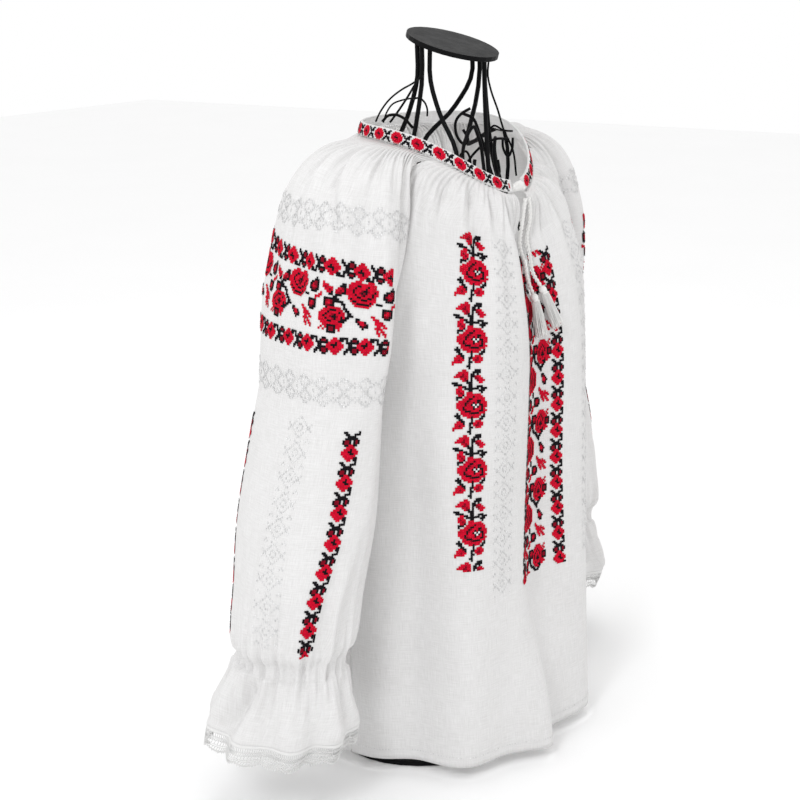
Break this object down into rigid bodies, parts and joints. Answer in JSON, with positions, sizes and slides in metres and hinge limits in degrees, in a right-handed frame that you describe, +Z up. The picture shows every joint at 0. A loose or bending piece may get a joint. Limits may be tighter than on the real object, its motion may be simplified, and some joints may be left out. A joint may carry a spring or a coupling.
{
  "type": "romanian ie blouse on a wire dress form",
  "caption": "Long-sleeved cotton blouse gathered into a round neck band, with a tied slit and frilled, lace-edged cuffs, on an open wire dress form.",
  "frame": {"origin": "bottom centre of the bounding box, in the plane that the form's foot ring stands on", "axes": "+Z up, -Y the wearer's front, +X the wearer's left"},
  "size_m": [0.6942, 0.2981, 0.785],
  "materials": {
    "white cotton": "plain woven",
    "cotton lace": "crocheted",
    "white thread": "twisted thread",
    "black wire": "satin black"
  },
  "bodies": {
    "root": {"front": "white cotton", "back": "white cotton", "sleeve_right": "white cotton", "sleeve_left": "white cotton", "neck_band": "white cotton", "lace_right": "cotton lace", "lace_left": "cotton lace", "tie_knot": "white thread", "tie_cord_right": "white thread", "tie_cord_left": "white thread", "tassel_right": "white thread", "tassel_left": "white thread", "foot_ring": "black wire", "neck_cap": "black wire", "hoop_chest": "black wire", "hoop_waist": "black wire", "upright_front_right": "black wire", "upright_front": "black wire", "upright_front_left": "black wire", "upright_back_left": "black wire", "upright_back_right": "black wire", "upright_side_right": "black wire", "upright_side_left": "black wire", "scroll_right": "black wire", "scroll_left": "black wire"}
  },
  "joints": []
}
